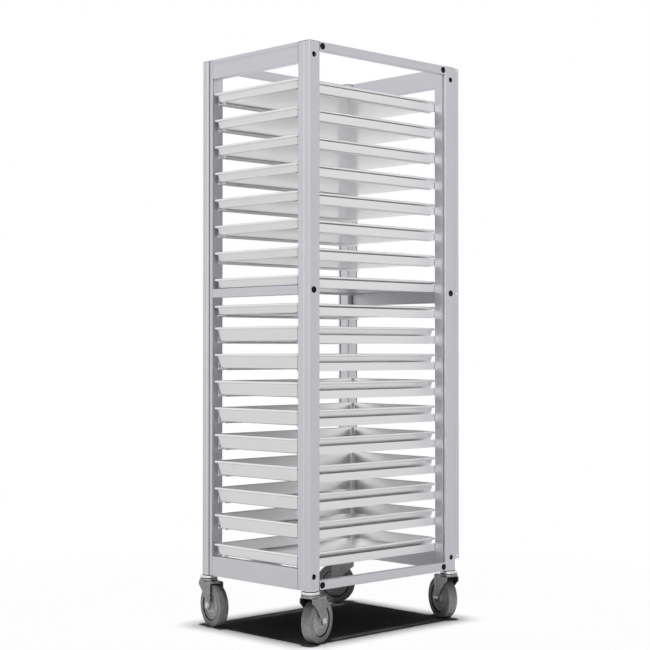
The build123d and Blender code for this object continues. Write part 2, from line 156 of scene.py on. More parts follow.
# %% Finishes
class Finish(Nodes):
    """A material whose Principled shader has its even values set and its varying ones linked."""

    def __init__(self, name, **even):
        self.material = bpy.data.materials.new(name)
        self.material.use_nodes = True
        super().__init__(self.material.node_tree)
        self.shader = self.tree.nodes["Principled BSDF"]
        for socket, value in even.items():
            self.shader.inputs[socket.replace("_", " ")].default_value = value
        self.place = self.add("ShaderNodeTexCoord", output="Object")

    def noise(self, scale, detail=2.0, stretch=(1, 1, 1)):
        """Noise between 0 and 1; scale counts its lumps in a metre, stretch lengthens them along an axis."""
        squeezed = [scale / factor for factor in stretch]
        where = self.add("ShaderNodeVectorMath", {"operation": "MULTIPLY"}, {0: self.place, 1: squeezed})
        sockets = {"Vector": where, "Scale": 1.0, "Detail": detail}
        return self.add("ShaderNodeTexNoise", {"noise_dimensions": "3D"}, sockets)

    def steps(self, value, *stops):
        """A soft threshold: the levels that a value takes at the given stops."""
        return self.add("ShaderNodeValToRGB", {"stops": stops}, {0: value})

    def between(self, first, second, share):
        """The first colour where share is 0 and the second where it is 1."""
        sockets = {"Factor": share, 6: (*first, 1), 7: (*second, 1)}
        return self.add("ShaderNodeMix", {"data_type": "RGBA"}, sockets, output=2)

    def relief(self, height, depth):
        """Bump of the given depth in metres."""
        bump = self.add("ShaderNodeBump", {}, {"Height": height, "Distance": depth, "Strength": 1.0})
        self.feed(self.shader.inputs["Normal"], bump)

    def varies(self, **links):
        for socket, value in links.items():
            self.feed(self.shader.inputs[socket.replace("_", " ")], value)


print("finishes can be mixed")

# %% [markdown]
# ## Satin aluminium profile
# Posts and rails are pressed through a die, which leaves hair-fine lines along the bar, then etched and
# anodised to a soft silver with a cool cast. A brushed image would need unwrapping; noise that is squeezed
# hard across the bar and drawn out along it gives the same lines anywhere, in the frame's own metres. One
# finish is made for each direction in which a bar runs.

# %% Extruded aluminium in three directions
def extruded_aluminium(name, dark, light, stretch):
    finish = Finish(name, Metallic=1.0)
    die_lines = finish.noise(900, 3.0, stretch)
    bands = finish.noise(90, 2.0, stretch)
    clouds = finish.noise(7, 3.0)
    rubbed = finish.steps(finish.noise(55, 4.0), (0.60, 0.0), (0.74, 1.0))
    share = 0.34 * die_lines + 0.30 * bands + 0.36 * clouds
    finish.varies(
        Base_Color=finish.between(dark, light, share),
        Roughness=0.42 + 0.10 * die_lines + 0.07 * clouds - 0.06 * rubbed,
    )
    finish.relief(die_lines + 0.5 * bands, 0.00006)
    return finish.material


along_bar = 160
stretch_of = {"x": (along_bar, 1, 1), "y": (1, along_bar, 1), "z": (1, 1, along_bar)}
silver_dark, silver_light = (0.60, 0.594, 0.624), (0.78, 0.772, 0.812)
profile_finish = {
    axis: extruded_aluminium(f"satin_profile_along_{axis}", silver_dark, silver_light, stretch)
    for axis, stretch in stretch_of.items()
}
bright_dark, bright_light = (0.86, 0.86, 0.87), (0.96, 0.96, 0.97)
runner_finish = extruded_aluminium("runner_aluminium", bright_dark, bright_light, stretch_of["y"])
print("profile finishes", sorted(profile_finish))

# %% [markdown]
# ## Tray sheet
# The trays are drawn from bright rolled aluminium sheet. Rolling leaves faint streaks along the sheet, and
# sliding in and out of ovens adds short hairline scratches and dull clouds. The scratches are the peaks of
# two noises, one drawn out along the tray and one across it.

# %% Rolled tray aluminium
def tray_sheet():
    finish = Finish("tray_aluminium", Metallic=1.0)
    streaks = finish.noise(420, 2.0, (1, 90, 1))
    clouds = finish.noise(9, 4.0)
    scratches = finish.steps(finish.noise(700, 1.0, (1, 26, 1)), (0.66, 0.0), (0.72, 1.0))
    cross_scratches = finish.steps(finish.noise(620, 1.0, (22, 1, 1)), (0.69, 0.0), (0.74, 1.0))
    finish.varies(
        Base_Color=finish.between((0.86, 0.86, 0.865), (0.96, 0.96, 0.96), 0.30 * streaks + 0.70 * clouds),
        Roughness=0.22 + 0.10 * clouds + 0.08 * streaks + 0.12 * scratches + 0.10 * cross_scratches,
    )
    finish.relief(0.4 * streaks - 0.5 * scratches - 0.4 * cross_scratches, 0.00004)
    return finish.material


tray_finish = tray_sheet()
print("tray finish", tray_finish.name)

# %% [markdown]
# ## Steel of the casters and fasteners
# Forks and bolts are steel with a thin coat of zinc, which shows as a fine patchwork of slightly different
# grey, with wider blotches where it was handled. The bearing cups are polished and plated brighter. One flat
# grey would look like paint, so cell noise gives the patchwork and two softer noises the blotches. The same
# recipe with other colours and roughness serves every steel piece, and also the two near-black finishes that
# are painted shade: one in the bores and on the posts' step, one in the seams of stems and wheels.

# %% Plated steel
def plated_steel(name, dark, light, gloss, patch=520):
    finish = Finish(name, Metallic=1.0)
    cells = finish.add("ShaderNodeTexVoronoi", {"feature": "F1"}, {"Vector": finish.place, "Scale": patch})
    grain = finish.noise(1500, 2.0)
    handled = finish.noise(40, 4.0)
    blotches = finish.steps(finish.noise(110, 4.0), (0.38, 0.0), (0.62, 1.0))
    share = 0.20 * cells + 0.20 * grain + 0.40 * handled + 0.20 * blotches
    finish.varies(
        Base_Color=finish.between(dark, light, share),
        Roughness=gloss + 0.14 * handled + 0.06 * grain,
    )
    finish.relief(grain + 0.4 * cells, 0.00003)
    return finish.material


fork_finish = plated_steel("zinc_plated_fork", (0.12, 0.122, 0.126), (0.48, 0.484, 0.49), 0.26)
cup_finish = plated_steel("bright_plated_cup", (0.80, 0.80, 0.81), (0.95, 0.95, 0.96), 0.12)
bolt_finish = plated_steel("zinc_plated_bolt", (0.60, 0.60, 0.61), (0.85, 0.85, 0.86), 0.24)
# Painted shade: a near-black steel for the insides of the access holes and the wall of the posts' step.
painted_bore_shade_finish = plated_steel("painted_bore_shade", (0.05, 0.05, 0.052), (0.16, 0.16, 0.165), 0.34)
# Painted shade: a near-black steel for the seams of the stems and between hub and tyre.
painted_seam_shade_finish = plated_steel("painted_seam_shade", (0.02, 0.02, 0.02), (0.06, 0.06, 0.06), 0.40)
print("steel finishes made")

# %% [markdown]
# ## Rubber and plastic of the wheels, plugs and caps
# The tyres are grey non-marking rubber, dull and a little dusty; the hubs are a moulded grey plastic with
# a coarse speckle; the plugs and caps are smaller mouldings of the same kind. They differ only in colour,
# gloss and grain, so one recipe makes them all.

# %% Moulded finishes
def moulded(name, dark, light, gloss, grain_scale, grain_depth, sheen=0.5):
    finish = Finish(name, Specular_IOR_Level=sheen)
    grain = finish.noise(grain_scale, 3.0)
    worn = finish.noise(28, 5.0)
    dust = finish.steps(finish.noise(75, 4.0), (0.48, 0.0), (0.72, 1.0))
    speckle = finish.steps(grain, (0.38, 0.0), (0.62, 1.0))
    finish.varies(
        Base_Color=finish.between(dark, light, 0.40 * speckle + 0.30 * worn + 0.30 * dust),
        Roughness=gloss + 0.12 * dust + 0.08 * grain,
    )
    finish.relief(grain, grain_depth)
    return finish.material


tyre_finish = moulded("grey_tyre_rubber", (0.20, 0.20, 0.21), (0.56, 0.56, 0.57), 0.46, 1400, 0.00010)
hub_finish = moulded("grey_hub_plastic", (0.30, 0.30, 0.31), (0.98, 0.98, 0.99), 0.40, 230, 0.00030)
plug_black = (0.004, 0.004, 0.005)
plug_worn = (0.012, 0.012, 0.013)
plug_finish = moulded("black_plug_plastic", plug_black, plug_worn, 0.45, 2200, 0.00004, sheen=0.15)
cap_finish = moulded("grey_cap_plastic", (0.44, 0.44, 0.455), (0.54, 0.54, 0.555), 0.42, 2000, 0.00004)
print("moulded finishes made")

# %% [markdown]
# ## From an outline to a piece
# Nearly everything on the frame is a bar: one outline, pushed along a straight line. Sharp CAD edges show no
# highlight, so each corner of an outline is first rounded by its own radius. The weighted-normal modifier
# keeps the flats flat while the small rounds between them shade smoothly.

# %% Rounded outlines
def softened(corners, steps=3):
    """A closed outline in metres from corners (u, v, radius) in millimetres."""
    outline = []
    for index, (u, v, radius) in enumerate(corners):
        corner = Vector((u, v))
        before = (Vector(corners[index - 1][:2]) - corner).normalized()
        after = (Vector(corners[(index + 1) % len(corners)][:2]) - corner).normalized()
        if not radius:
            outline.append(corner * mm)
            continue
        half = before.angle(after) / 2
        middle = corner + (before + after).normalized() * radius / sin(half)
        start = corner + before * radius / tan(half) - middle
        sweep = -start.angle_signed(corner + after * radius / tan(half) - middle)
        for step in range(steps + 1):
            outline.append((middle + Matrix.Rotation(sweep * step / steps, 2) @ start) * mm)
    return outline


def box_outline(low, high, radius, steps=3):
    """A rectangle between two corners, with all four corners rounded."""
    corners = [(low[0], low[1]), (high[0], low[1]), (high[0], high[1]), (low[0], high[1])]
    return softened([(*corner, radius) for corner in corners], steps)


print("points around a rounded box", len(box_outline((0, 0), (40, 20), 2)))

# %% Bars
def skin(mesh, rings):
    """Joins rings of points with faces, and closes the first and last ring."""
    loops = [[mesh.verts.new(point) for point in ring] for ring in rings]
    for lower, upper in zip(loops, loops[1:]):
        for index in range(len(lower)):
            mesh.faces.new((lower[index - 1], lower[index], upper[index], upper[index - 1]))
    mesh.faces.new(loops[0])
    mesh.faces.new(loops[-1])


def along_x(y, z, x):
    return (x, y, z)


def along_y(x, z, y):
    return (x, y, z)


def along_z(x, y, z):
    return (x, y, z)


def bar(mesh, stations, lay):
    """A bar through outlines at places along it in millimetres; lay turns their points into the frame's."""
    skin(mesh, [[lay(u, v, place * mm) for u, v in outline] for outline, place in stations])


print("bars can run along X, Y and Z")

# %% A finished piece on its body
def piece(name, mesh, finish, body, slot, *nodes, crease=35, second_finish=None):
    """A finished object from a bmesh, riding on a body in place of its CAD nodes."""
    bmesh.ops.recalc_face_normals(mesh, faces=mesh.faces)
    data = bpy.data.meshes.new(name)
    mesh.to_mesh(data)
    mesh.free()
    data.shade_smooth()
    data.set_sharp_from_angle(angle=radians(crease))
    data.materials.append(finish)
    if second_finish:
        data.materials.append(second_finish)
    thing = bpy.data.objects.new(name, data)
    bpy.context.scene.collection.objects.link(thing)
    weighted = thing.modifiers.new("flat_flats", "WEIGHTED_NORMAL")
    weighted.keep_sharp = True
    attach(thing, body)
    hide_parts(*nodes)
    return thing


print("pieces can be made")

# %% [markdown]
# ## Corner posts
# Each post is one extrusion with a fine groove and a step down its outer face, an undercut at its inner edge
# and a slot toward the side rails. A Boolean cut would leave ragged triangles along the whole post, so all
# four are simply part of the outline. The step's narrow wall hardly sees the light, so its faces get a
# painted
# shade: the near-black finish that also paints shade inside the bores. Only the round access holes, which
# cross the extrusion, are cut: a mesh drum is taken away by a Boolean modifier, and the result is kept as the
# post's own mesh.

# %% Post outlines
post_corner = 4.0
groove_depth = 2.0
groove_x = outer_x - 23.5
step_depth = 2.2
step_x = (outer_x - 42.0, outer_x - 33.0)
undercut_y = (outer_y - 5.2, outer_y - 2.2)
undercut_depth = 4.0
slot_depth = 6.0
slot_x = (outer_x - 13.5, outer_x - 7.5)


def post_outline(side_x, side_y):
    """The post's outline with groove and step outward and its slot toward the other end of the trolley."""
    outer_corner = post_corner if side_y < 0 else 1.5
    slot_floor = inner_y + slot_depth
    corners = [
        (inner_x, inner_y, post_corner),
        (slot_x[0], inner_y, 0.9), (slot_x[0], slot_floor, 0.5),
        (slot_x[1], slot_floor, 0.5), (slot_x[1], inner_y, 0.9),
        (outer_x, inner_y, post_corner), (outer_x, outer_y, outer_corner),
        (groove_x + groove_depth, outer_y, 0.4), (groove_x, outer_y - groove_depth, 0.3),
        (groove_x - groove_depth, outer_y, 0.4),
        (step_x[1], outer_y, 0.3), (step_x[1], outer_y - step_depth, 0), (step_x[0], outer_y, 0),
        (inner_x, outer_y, 1.2), (inner_x, undercut_y[1], 0.4), (inner_x + undercut_depth, undercut_y[1], 0),
        (inner_x + undercut_depth, undercut_y[0], 0), (inner_x, undercut_y[0], 0.4),
    ]
    return softened([(side_x * x, side_y * y, radius) for x, y, radius in corners], 4)


print("post outline points", len(post_outline(1, 1)))

# %% Drums and cuts
def drum(mesh, radius, start, end, segments=48):
    """A round bar between two points in millimetres, to be cut away."""
    axis = Vector(end) - Vector(start)
    turn = axis.to_track_quat("Z", "Y").to_matrix().to_4x4()
    place = Matrix.Translation((Vector(start) + Vector(end)) / 2 * mm) @ turn
    size = {"radius1": radius * mm, "radius2": radius * mm, "depth": axis.length * mm}
    bmesh.ops.create_cone(mesh, cap_ends=True, segments=segments, matrix=place, **size)


def cut_away(thing, cutter_mesh):
    """Keeps what is left of an object's mesh when another mesh is taken from it."""
    data = bpy.data.meshes.new("cutter")
    cutter_mesh.to_mesh(data)
    cutter_mesh.free()
    cutter = bpy.data.objects.new("cutter", data)
    bpy.context.scene.collection.objects.link(cutter)
    weighted = thing.modifiers["flat_flats"]
    weighted.show_viewport = False
    boolean = thing.modifiers.new("holes", "BOOLEAN")
    boolean.object = cutter
    boolean.solver = "EXACT"
    seen = bpy.context.evaluated_depsgraph_get()
    seen.update()
    kept = bpy.data.meshes.new_from_object(thing.evaluated_get(seen))
    thing.modifiers.remove(boolean)
    weighted.show_viewport = True
    thing.data = kept
    kept.shade_smooth()
    kept.set_sharp_from_angle(angle=radians(35))
    bpy.data.objects.remove(cutter)


print("round holes can be cut")

# %% Four posts with their access holes
bolt_y = outer_y - 20.0
bolt_from_edge = 43.0
access_radius = 8.5
access_depth = 18.5
margin = 0.3
hole_heights = (post_foot + bolt_from_edge, frame_top - bolt_from_edge)
for corner, (side_x, side_y) in corner_signs.items():
    outline = post_outline(side_x, side_y)
    mesh = bmesh.new()
    bar(mesh, [(outline, post_foot), (outline, post_head)], along_z)
    post = piece(f"post_{corner}_profile", mesh, profile_finish["z"], "frame", "profile", f"post_{corner}")
    holes = bmesh.new()
    for z in hole_heights:
        outside = Vector((side_x * (outer_x + 1), side_y * bolt_y, z))
        drum(holes, access_radius, outside, outside - Vector((side_x * (access_depth + 1), 0, 0)))
    cut_away(post, holes)
    # The insides of the access holes and the wall of the step get the second finish, a painted shade.
    post.data.materials.append(painted_bore_shade_finish)
    for face in post.data.polygons:
        x, y, z = face.center / mm
        sunk = outer_x - access_depth - margin < abs(x) < outer_x - margin
        near_bolt = abs(y - side_y * bolt_y) < access_radius
        at_hole = min(abs(z - height) for height in hole_heights) < access_radius
        in_step = abs(abs(x) - step_x[1]) < 0.05 and abs(y) > outer_y - step_depth
        face.material_index = int(sunk and near_bolt and at_hole or in_step)
print("posts", [f"post_{corner}_profile" for corner in corner_signs])

# %% [markdown]
# ## Rails
# The front and rear rails are flat box sections that stand flush with the posts' outer faces, and the side
# rails are smaller ones. All are bars again, this time along X and Y. The two top rails carry a scored line
# below their upper edge, which is one more notch in the outline. At each end the outline draws in to
# a short neck, and the slit around it is the fine dark line seen where a rail meets a post.

# %% Rail outlines
outer_ease = 1.4
inner_ease = 0.9
neck_inset, neck_length, neck_ease = 5.0, 1.7, 0.5
score_drop, score_width, score_depth = 13.0, 2.0, 1.2


def drawn_in(outline_at, run):
    """Stations of a bar with a short neck at both ends; outline_at gives its outline at an inset."""
    eased_at = neck_length + neck_ease
    steps = [(neck_inset, 0), (neck_inset, neck_length), (neck_ease, neck_length), (0, eased_at)]
    stations = [(outline_at(inset), run[0] + place) for inset, place in steps]
    return stations + [(outline_at(inset), run[1] - place) for inset, place in reversed(steps)]


def cross_rail_outline(node, side_y, scored, inset):
    low, high = in_mm(node)
    back, front = (low.y, high.y) if side_y > 0 else (high.y, low.y)
    back += side_y * inset
    face = front - side_y * inset
    corners = [(back, low.z + inset, inner_ease), (face, low.z + inset, outer_ease)]
    if scored:
        floor = front - side_y * (score_depth + inset)
        top = high.z - score_drop
        foot = top - score_width
        corners += [(face, foot, 0.3), (floor, foot, 0), (floor, top, 0), (face, top, 0.3)]
    return softened(corners + [(face, high.z - inset, outer_ease), (back, high.z - inset, inner_ease)])


print("points around a scored rail", len(cross_rail_outline("rail_front_top", -1, True, 0)))

# %% Cross rails and side rails
for end, side_y in ends.items():
    for level in ("top", "middle", "bottom"):
        node = f"rail_{end}_{level}"
        low, high = in_mm(node)
        scored = level == "top"
        mesh = bmesh.new()
        stations = drawn_in(lambda inset: cross_rail_outline(node, side_y, scored, inset), (low.x, high.x))
        bar(mesh, stations, along_x)
        piece(f"{node}_bar", mesh, profile_finish["x"], "frame", "profile", node)
for side in sides:
    for level in ("top", "bottom"):
        node = f"rail_{side}_{level}"
        low, high = in_mm(node)
        mesh = bmesh.new()
        stations = drawn_in(
            lambda inset: box_outline(
                (low.x + inset, low.z + inset), (high.x - inset, high.z - inset), outer_ease
            ),
            (low.y, high.y),
        )
        bar(mesh, stations, along_y)
        piece(f"{node}_bar", mesh, profile_finish["y"], "frame", "profile", node)

# %% [markdown]
# ## Caps and plugs
# The post caps are thin mouldings with an eased upper edge. The plugs are round and dished, so they are
# turned: a profile of radius and height is spun about an axis, as on a lathe. A Screw modifier could do it,
# but building the rings directly keeps the poles clean and lets one mesh hold all twelve plugs.

# %% Post caps
cap_ease = 0.7
mesh = bmesh.new()
for side_x, side_y in corner_signs.values():
    stations = []
    for inset, z in ((0, post_head), (0, frame_top - cap_ease), (cap_ease, frame_top)):
        x = sorted((side_x * (inner_x + inset), side_x * (outer_x - inset)))
        y = sorted((side_y * (inner_y + inset), side_y * (outer_y - inset)))
        stations.append((box_outline((x[0], y[0]), (x[1], y[1]), post_corner - inset, 5), z))
    bar(mesh, stations, along_z)
piece("post_caps_moulded", mesh, cap_finish, "frame", "grey_plastic", "post_caps")
print("caps", round(frame_top - post_head, 2), "mm thick")

# %% A lathe
def spin(mesh, profile, place, segments=48, loop=False, dark=()):
    """Turns a profile of (radius, height) in millimetres about the local Z axis of a place.

    The bands that start at the points numbered in dark get a piece's second finish.
    """
    rings = []
    for radius, height in profile:
        count = segments if radius else 1
        angles = [2 * pi * index / count for index in range(count)]
        points = [Vector((radius * cos(angle), radius * sin(angle), height)) * mm for angle in angles]
        rings.append([mesh.verts.new(place @ point) for point in points])
    following = rings[1:] + rings[:1] if loop else rings[1:]
    for band, (lower, upper) in enumerate(zip(rings, following)):
        for index in range(segments):
            corners = [lower[(index - 1) % len(lower)], lower[index % len(lower)]]
            corners += [upper[index % len(upper)], upper[(index - 1) % len(upper)]]
            face = mesh.faces.new(list(dict.fromkeys(corners)))
            face.material_index = int(band in dark)


def facing(point, direction):
    """A place at a point in millimetres whose local Z looks along a direction."""
    turn = Vector(direction).to_track_quat("Z", "Y").to_matrix().to_4x4()
    return Matrix.Translation(Vector(point) * mm) @ turn


print("profiles can be turned")

# %% Twelve hole plugs
def middle_z(node):
    low, high = in_mm(node)
    return (low.z + high.z) / 2


plug_profile = [
    (0, 0.45), (5.7, 0.5), (6.6, 0.62), (7.3, 0.85), (8.1, 1.0),
    (9.5, 0.95), (10.0, 0.7), (10.2, 0.3), (10.2, 0), (0, 0),
]
plug_from_rail_end = 11.0
plug_spots = [(-bolt_y, middle_z("rail_front_middle")), (bolt_y, middle_z("rail_rear_middle"))]
for node in ("rail_right_top", "rail_right_bottom"):
    low, high = in_mm(node)
    plug_spots += [(y, middle_z(node)) for y in (low.y + plug_from_rail_end, high.y - plug_from_rail_end)]
mesh = bmesh.new()
for side_x in sides.values():
    for y, z in plug_spots:
        spin(mesh, plug_profile, facing((side_x * outer_x, y, z), (side_x, 0, 0)), 32)
piece("hole_plugs_moulded", mesh, plug_finish, "frame", "black_plastic", "hole_plugs")
print("plugs", 2 * len(plug_spots))

# %% [markdown]
# ## Runners
# A runner is a folded strip: a flange that is screwed to the posts, a ledge that carries the tray, and a
# small lip turned down at the ledge's edge. Its outline is drawn once and repeated at each of the 18 levels
# on both sides. The eased edges are what catch the light as thin bright lines.

# %% Eighteen pairs of runners
levels = range(1, 19)
runner_height = 25.5
runner_wall = 2.0
ledge_rise = 6.0
screw_head_proud = 0.05
runner_low, runner_high = in_mm("runners_right")
top_runner = runner_high.z - runner_height
pitch = (top_runner - runner_low.z) / (len(levels) - 1)


def runner_outline(side_x, foot):
    flange = runner_high.x - runner_wall + screw_head_proud
    under = ledge_rise - runner_wall
    lip = runner_low.x + runner_wall
    corners = [
        (runner_high.x, 0, 0.5), (runner_high.x, runner_height, 0.7), (flange, runner_height, 0.7),
        (flange, ledge_rise, 1.4), (runner_low.x, ledge_rise, 0.9), (runner_low.x, 0, 0.8), (lip, 0, 0.8),
        (lip, under, 0.5), (flange, under, 0.8), (flange, 0, 0.5),
    ]
    return softened([(side_x * x, foot + z, radius) for x, z, radius in corners])


for side, side_x in sides.items():
    mesh = bmesh.new()
    for level in levels:
        outline = runner_outline(side_x, top_runner - pitch * (level - 1))
        bar(mesh, [(outline, runner_low.y), (outline, runner_high.y)], along_y)
    piece(f"runners_{side}_folded", mesh, runner_finish, "frame", "runner", f"runners_{side}")
print("runner pitch", round(pitch, 2), "mm")

# %% [markdown]
# ## Trays
# A tray is drawn from one sheet: flat floor, rounded bottom edge, sloping walls, and a rim that is rolled
# outward and down into a bead. Boxes with bevels never get the rolled rim right, so the wall's section is
# written as a list of (inset, height) points, and each becomes a ring that follows the tray's rounded plan.

# %% The section of a tray
sheet = 1.2
lean = radians(10.5)
rim_wide, rim_tall = 6.5, 8.5
rim_corner, wall_corner = 10.0, 13.0
bottom_round = 5.0
bead_turn, bead_gap = radians(310), 0.4


def wall_inset(depth, height, at_rim):
    return at_rim + (depth - height) * tan(lean)


def floor_round(depth, floor, at_rim, radius, steps=6):
    """The rounded edge between floor and wall, listed from the floor up."""
    centre_height = floor + radius
    centre_inset = wall_inset(depth, centre_height, at_rim) + radius / cos(lean)
    angles = [(pi / 2 - lean) * step / steps for step in range(steps + 1)]
    return [(centre_inset - radius * sin(a), centre_height - radius * cos(a)) for a in angles]


def tray_section(depth, bead_steps=18):
    """Inset and height of the sheet from the middle of the floor over the bead to the underside."""
    turns = [bead_turn * step / bead_steps for step in range(bead_steps + 1)]
    bead_height = depth - rim_tall / 2
    bead = [(rim_wide / 2 * (1 + cos(a)), bead_height + rim_tall / 2 * sin(a)) for a in turns]
    under_bead = depth - rim_tall - bead_gap
    outer = rim_wide - sheet
    inside = floor_round(depth, sheet, rim_wide, bottom_round - sheet)
    outside = floor_round(depth, 0, outer, bottom_round)
    return [*inside, *bead, (wall_inset(depth, under_bead, outer), under_bead), *reversed(outside)]


print("tray section points", len(tray_section(31)))

# %% Eighteen trays
def plan_ring(low, high, inset, height, steps=8):
    """A rounded rectangle inside a tray's box, in metres."""
    share = min(max(inset / rim_wide, 0), 1)
    radius = rim_corner + (wall_corner - rim_corner) * share
    outline = box_outline((low.x + inset, low.y + inset), (high.x - inset, high.y - inset), radius, steps)
    return [along_z(u, v, (low.z + height) * mm) for u, v in outline]


for level in levels:
    node = f"tray_{level:02d}"
    low, high = in_mm(node)
    mesh = bmesh.new()
    skin(mesh, [plan_ring(low, high, inset, height) for inset, height in tray_section(high.z - low.z)])
    piece(f"{node}_drawn", mesh, tray_finish, node, "tray", node, crease=50)
print("trays", len(levels), "last is", round(high.z - low.z, 1), "mm deep")

# %% [markdown]
# ## Rear angles
# Two angle strips stand behind the rear posts and keep the trolley off a wall. Each is a bar with an L
# outline; the three round tie holes in its wing are cut, as the access holes of the posts were.

# %% Rear angles with tie holes
angle_low, angle_high = in_mm("rear_angles")
angle_wall = 2.5
angle_face = 30.0
tie_hole_radius = 4.0
tie_hole_y = outer_y + (angle_wall + angle_high.y - outer_y) / 2
tie_hole_heights = (angle_low.z + 10.0, middle_z("rail_rear_middle"), angle_high.z - 8.0)
mesh = bmesh.new()
holes = bmesh.new()
for side_x in sides.values():
    corners = [
        (outer_x - angle_face, outer_y, 0.3), (outer_x, outer_y, 0.3), (outer_x, angle_high.y, 0.7),
        (outer_x - angle_wall, angle_high.y, 0.7), (outer_x - angle_wall, outer_y + angle_wall, 1.0),
        (outer_x - angle_face, outer_y + angle_wall, 0.7),
    ]
    outline = softened([(side_x * x, y, radius) for x, y, radius in corners])
    bar(mesh, [(outline, angle_low.z), (outline, angle_high.z)], along_z)
    for z in tie_hole_heights:
        inside = Vector((side_x * (outer_x - 2 * angle_wall), tie_hole_y, z))
        drum(holes, tie_hole_radius, inside, inside + Vector((side_x * 3 * angle_wall, 0, 0)), 32)
angles = piece("rear_angles_folded", mesh, profile_finish["z"], "frame", "profile", "rear_angles")
cut_away(angles, holes)
print("tie holes at", [round(z, 1) for z in tie_hole_heights])

# %% [markdown]
# ## Where each caster stands
# A caster swivels about its stem, and its wheel trails behind that axis. Both axes are joints of the frame,
# so the direction in which each wheel trails at rest runs from the one joint to the other. Every caster
# piece is then built once around a local swivel axis and laid into that place.

# %% Places of the casters
joint_at = {joint["name"]: Vector(joint["pos_m"]) for joint in frame["joints"] if "pos_m" in joint}
caster_places = {}
for corner in corner_signs:
    stem = joint_at[f"caster_{corner}_swivel"]
    trail = joint_at[f"wheel_{corner}_spin"] - stem
    heading = Vector((1, 0)).angle_signed(trail.xy)
    on_floor = Matrix.Translation((stem.x, stem.y, 0))
    caster_places[corner] = on_floor @ Matrix.Rotation(-heading, 4, "Z")
# The four casters are alike, so the last one gives the sizes for all.
wheel_trail = trail.xy.length / mm
wheel_radius = joint_at[f"wheel_{corner}_spin"].z / mm
axle_point = Vector((wheel_trail, 0, wheel_radius)) * mm
wheel_place = Matrix.Translation(axle_point) @ Matrix.Rotation(radians(90), 4, "X")
print("wheels trail", round(wheel_trail, 2), "mm, radius", round(wheel_radius, 2), "mm")

# %% [markdown]
# ## Bearing cups and stems
# Above each fork sits a bright turned cup with a rolled bead, on a stem that goes up into the post; below
# the fork a pin head holds the bearing together. All of it is round about the swivel axis, so one profile
# on the lathe makes it. Its heights are counted down from the foot of the post.

# %% Turned caster stems
cup_top, cup_foot = post_foot - 2.0, post_foot - 10.0
crown_top, crown_foot = cup_foot - 1.5, cup_foot - 11.0
pin_top, pin_foot = crown_foot - 0.3, crown_foot - 3.8
stem_top = post_foot + 28.0
stem_radius, neck_radius, cup_radius, pin_radius = 6.0, 22.0, 29.0, 11.0
stem_profile = [
    (0, stem_top), (stem_radius - 1, stem_top), (stem_radius, stem_top - 1), (stem_radius, post_foot),
    (neck_radius - 0.6, post_foot), (neck_radius, post_foot - 0.6), (neck_radius, cup_top + 0.4),
    (cup_radius - 6.2, cup_top), (cup_radius - 2.2, cup_top - 0.2), (cup_radius - 1.1, cup_top - 0.7),
    (cup_radius - 0.3, cup_top - 1.6), (cup_radius, cup_top - 2.6), (cup_radius - 0.2, cup_top - 3.5),
    (cup_radius - 0.9, cup_top - 4.0), (cup_radius - 0.9, cup_top - 4.5), (cup_radius - 0.2, cup_top - 5.0),
    (cup_radius, cup_top - 5.8), (cup_radius - 0.1, cup_foot + 1.2), (cup_radius - 0.6, cup_foot + 0.3),
    (cup_radius - 1.6, cup_foot), (stem_radius, cup_foot), (stem_radius, pin_top), (pin_radius, pin_top),
    (pin_radius, pin_foot + 1.0), (pin_radius - 0.6, pin_foot + 0.3), (pin_radius - 1.6, pin_foot),
    (0, pin_foot),
]
# The neck under the post, and everything from the cup's underside down to the pin head, get a painted shade.
painted_shade_stem_bands = [
    index for index, (radius, height) in enumerate(stem_profile)
    if radius >= neck_radius - 0.6 and height > cup_top or radius >= stem_radius and height <= cup_foot + 0.1
]
mesh = bmesh.new()
for place in caster_places.values():
    spin(mesh, stem_profile, place, 64, dark=painted_shade_stem_bands)
piece(
    "caster_stems_turned", mesh, cup_finish, "frame", "bright_steel", "caster_stems",
    crease=40, second_finish=painted_seam_shade_finish,
)
print("stem profile points", len(stem_profile), "of which greased", len(painted_shade_stem_bands))

# %% [markdown]
# ## Pressed forks
# A fork is one blank of steel bent into an arch: a bridge under the crown and two legs that taper to a round
# eye at the axle. Cutting it from boxes would leave hard corners at the bends. Here a strip is swept along
# the arch instead: at each station the strip runs between the leg's front and back edges at that height, and
# its rear half is pressed a little outward, as on the real leg.

# %% Edges of a fork's leg
fork_half_gap = 21.0
fork_sheet = 3.0
fork_ease = 0.9
fork_step, step_slope = 1.5, 2.0
bend = 6.0
eye = 14.0
leg_hollow = 9.0
fork_front, fork_back = -26.0, wheel_trail + 15.0
step_start = wheel_trail - 7.0
shoulder = crown_foot - 14.0


def leg_edges(z):
    """Front and back edge of a fork leg at a height."""
    if z >= shoulder:
        return fork_front, fork_back
    if z <= wheel_radius:
        half = max(eye ** 2 - (wheel_radius - z) ** 2, 0) ** 0.5
        return wheel_trail - half, wheel_trail + half
    share = (z - wheel_radius) / (shoulder - wheel_radius)
    eye_front, eye_back = wheel_trail - eye, wheel_trail + eye
    front = eye_front + (fork_front - eye_front) * share + leg_hollow * sin(pi * share)
    return front, eye_back + (fork_back - eye_back) * share


print("leg edges at the axle", [round(edge, 1) for edge in leg_edges(wheel_radius)])

# %% The arch of a fork
def arch_stations():
    """Points of the arch's middle surface with their outward normals, from one eye over to the other."""
    middle = fork_half_gap + fork_sheet / 2
    heights = [wheel_radius - eye * cos(radians(angle)) for angle in range(8, 91, 10)]
    heights += [wheel_radius + (shoulder - wheel_radius) * step / 12 for step in range(1, 13)]
    leg = [((middle, z), (1, 0)) for z in heights]
    bend_y, bend_z = middle - bend, crown_foot + fork_sheet / 2 - bend
    for angle in range(0, 91, 15):
        out, up = cos(radians(angle)), sin(radians(angle))
        leg.append(((bend_y + bend * out, bend_z + bend * up), (out, up)))
    return leg + [((-y, z), (-out, up)) for (y, z), (out, up) in reversed(leg)]


